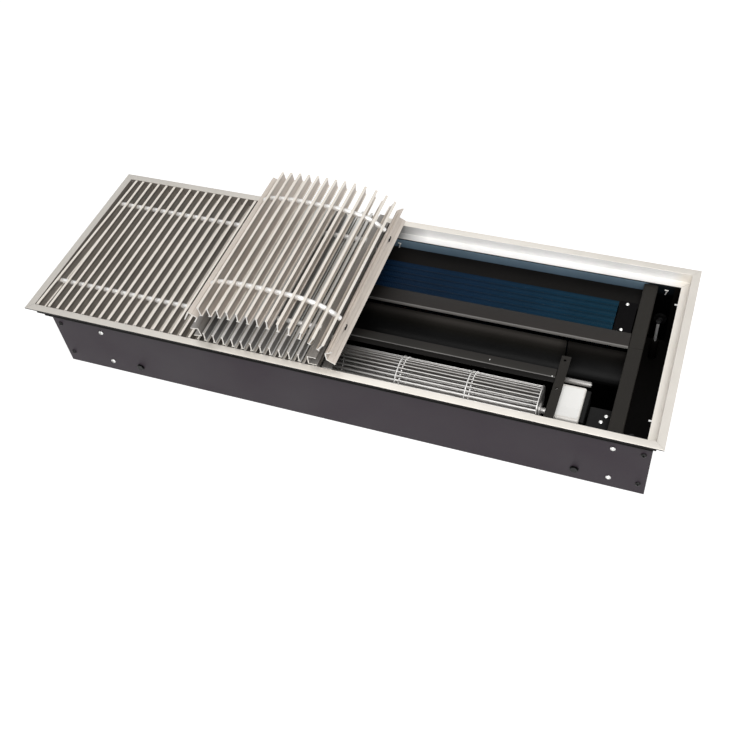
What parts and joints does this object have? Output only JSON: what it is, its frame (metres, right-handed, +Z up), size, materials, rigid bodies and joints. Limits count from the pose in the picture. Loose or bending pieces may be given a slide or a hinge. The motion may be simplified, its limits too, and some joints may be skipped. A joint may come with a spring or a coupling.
{
  "type": "floor fan convector",
  "caption": "Trench convector for a floor: black casing with a trim frame, roll-up slat grille partly stacked, finned exchanger and tangential fan.",
  "frame": {"origin": "middle of the underside of the casing, under the middle of the trim frame", "axes": "+X along the casing towards the motor end, +Y towards the exchanger side, +Z up towards the grille"},
  "size_m": [0.832, 0.287, 0.1845],
  "materials": {
    "trim_frame": "satin champagne anodised",
    "grille_slats": "satin champagne anodised slats with off-white spring sleeves",
    "grille_profiles": "satin champagne anodised",
    "casing": "fine matt powder coat",
    "inner_sheets": "matt powder coat",
    "black_sheets": "matt powder coat",
    "exchanger_fins": "satin dark blue coating on thin fins",
    "exchanger_tube": "plain copper tube",
    "pipe_fittings": "machined",
    "fan_rotor": "bright galvanised",
    "motor_body": "off-white, bare",
    "black_plastic": "fine matt",
    "capacitor_can": "drawn can",
    "bright_screws": "zinc plated"
  },
  "bodies": {
    "casing": {"air_vent_body": "pipe_fittings", "bearing_bush": "black_plastic", "bearing_support": "inner_sheets", "bracket_screw_back_left_lower": "bright_screws", "bracket_screw_back_left_upper": "bright_screws", "bracket_screw_back_right_lower": "bright_screws", "bracket_screw_back_right_upper": "bright_screws", "bracket_screw_front_left_lower": "bright_screws", "bracket_screw_front_left_upper": "bright_screws", "bracket_screw_front_right_lower": "bright_screws", "bracket_screw_front_right_upper": "bright_screws", "cable_gland": "black_plastic", "casing_end_left": "casing", "casing_end_right": "casing", "casing_trough": "casing", "centre_cover_strip": "inner_sheets", "exchanger_bracket_left": "black_sheets", "exchanger_bracket_right": "black_sheets", "exchanger_fins": "exchanger_fins", "exchanger_tube": "exchanger_tube", "fan_lip_guide": "inner_sheets", "fan_scroll": "black_sheets", "frame_back_bar": "trim_frame", "frame_front_bar": "trim_frame", "frame_left_bar": "trim_frame", "frame_right_bar": "trim_frame", "motor_bay_screen": "inner_sheets", "motor_body": "motor_body", "motor_capacitor": "capacitor_can", "motor_end_cap": "black_plastic", "motor_support": "inner_sheets", "partition_back_left": "inner_sheets", "partition_back_right": "inner_sheets", "partition_front_left": "inner_sheets", "partition_front_right": "inner_sheets", "rear_cover_strip": "black_sheets", "return_union": "pipe_fittings", "supply_union": "pipe_fittings", "terminal_box": "black_plastic", "terminal_box_lid": "black_plastic"},
    "fan_rotor_body": {"fan_rotor": "fan_rotor", "fan_ring_1": "fan_rotor", "fan_ring_2": "fan_rotor", "fan_ring_3": "fan_rotor", "fan_ring_4": "fan_rotor", "fan_ring_5": "fan_rotor"},
    "lying_grille": {"grille_lying": "grille_slats", "grille_lying_profile_right": "grille_profiles"},
    "upper_grille": {"grille_upper": "grille_slats", "grille_upper_profile_left": "grille_profiles", "grille_upper_profile_right": "grille_profiles"},
    "arched_grille": {"grille_arched": "grille_slats", "grille_arched_profile_left": "grille_profiles", "grille_arched_profile_right": "grille_profiles"},
    "vent_screw": {"air_vent_screw": "bright_screws"},
    "levelling_screw_front_left_body": {"levelling_screw_front_left": "bright_screws"},
    "levelling_screw_front_right_body": {"levelling_screw_front_right": "bright_screws"},
    "levelling_screw_back_left_body": {"levelling_screw_back_left": "bright_screws"},
    "levelling_screw_back_right_body": {"levelling_screw_back_right": "bright_screws"}
  },
  "joints": [
    {"name": "fan_spin", "type": "hinge", "parent": "casing", "child": "fan_rotor_body", "pos_m": [0.0019, -0.0845, 0.066], "axis": [1, 0, 0], "continuous": true},
    {"name": "lying_grille_lift", "type": "slide", "parent": "casing", "child": "lying_grille", "axis": [0, 0, 1], "range_m": [0, 0.15]},
    {"name": "upper_grille_lift", "type": "slide", "parent": "lying_grille", "child": "upper_grille", "axis": [0, 0, 1], "range_m": [0, 0.12]},
    {"name": "arched_grille_lift", "type": "slide", "parent": "upper_grille", "child": "arched_grille", "axis": [0, 0, 1], "range_m": [0, 0.12]},
    {"name": "air_vent_turn", "type": "hinge", "parent": "casing", "child": "vent_screw", "pos_m": [-0.366, 0.0485, 0.072], "axis": [0, 0, 1], "range_deg": [0, 360]},
    {"name": "levelling_screw_front_left_turn", "type": "hinge", "parent": "casing", "child": "levelling_screw_front_left_body", "pos_m": [-0.3685, -0.0965, 0.068], "axis": [0, 0, 1], "range_deg": [-1800, 1800]},
    {"name": "levelling_screw_front_right_turn", "type": "hinge", "parent": "casing", "child": "levelling_screw_front_right_body", "pos_m": [0.3775, -0.0965, 0.068], "axis": [0, 0, 1], "range_deg": [-1800, 1800]},
    {"name": "levelling_screw_back_left_turn", "type": "hinge", "parent": "casing", "child": "levelling_screw_back_left_body", "pos_m": [-0.3685, 0.0915, 0.068], "axis": [0, 0, 1], "range_deg": [-1800, 1800]},
    {"name": "levelling_screw_back_right_turn", "type": "hinge", "parent": "casing", "child": "levelling_screw_back_right_body", "pos_m": [0.3775, 0.0915, 0.068], "axis": [0, 0, 1], "range_deg": [-1800, 1800]}
  ]
}
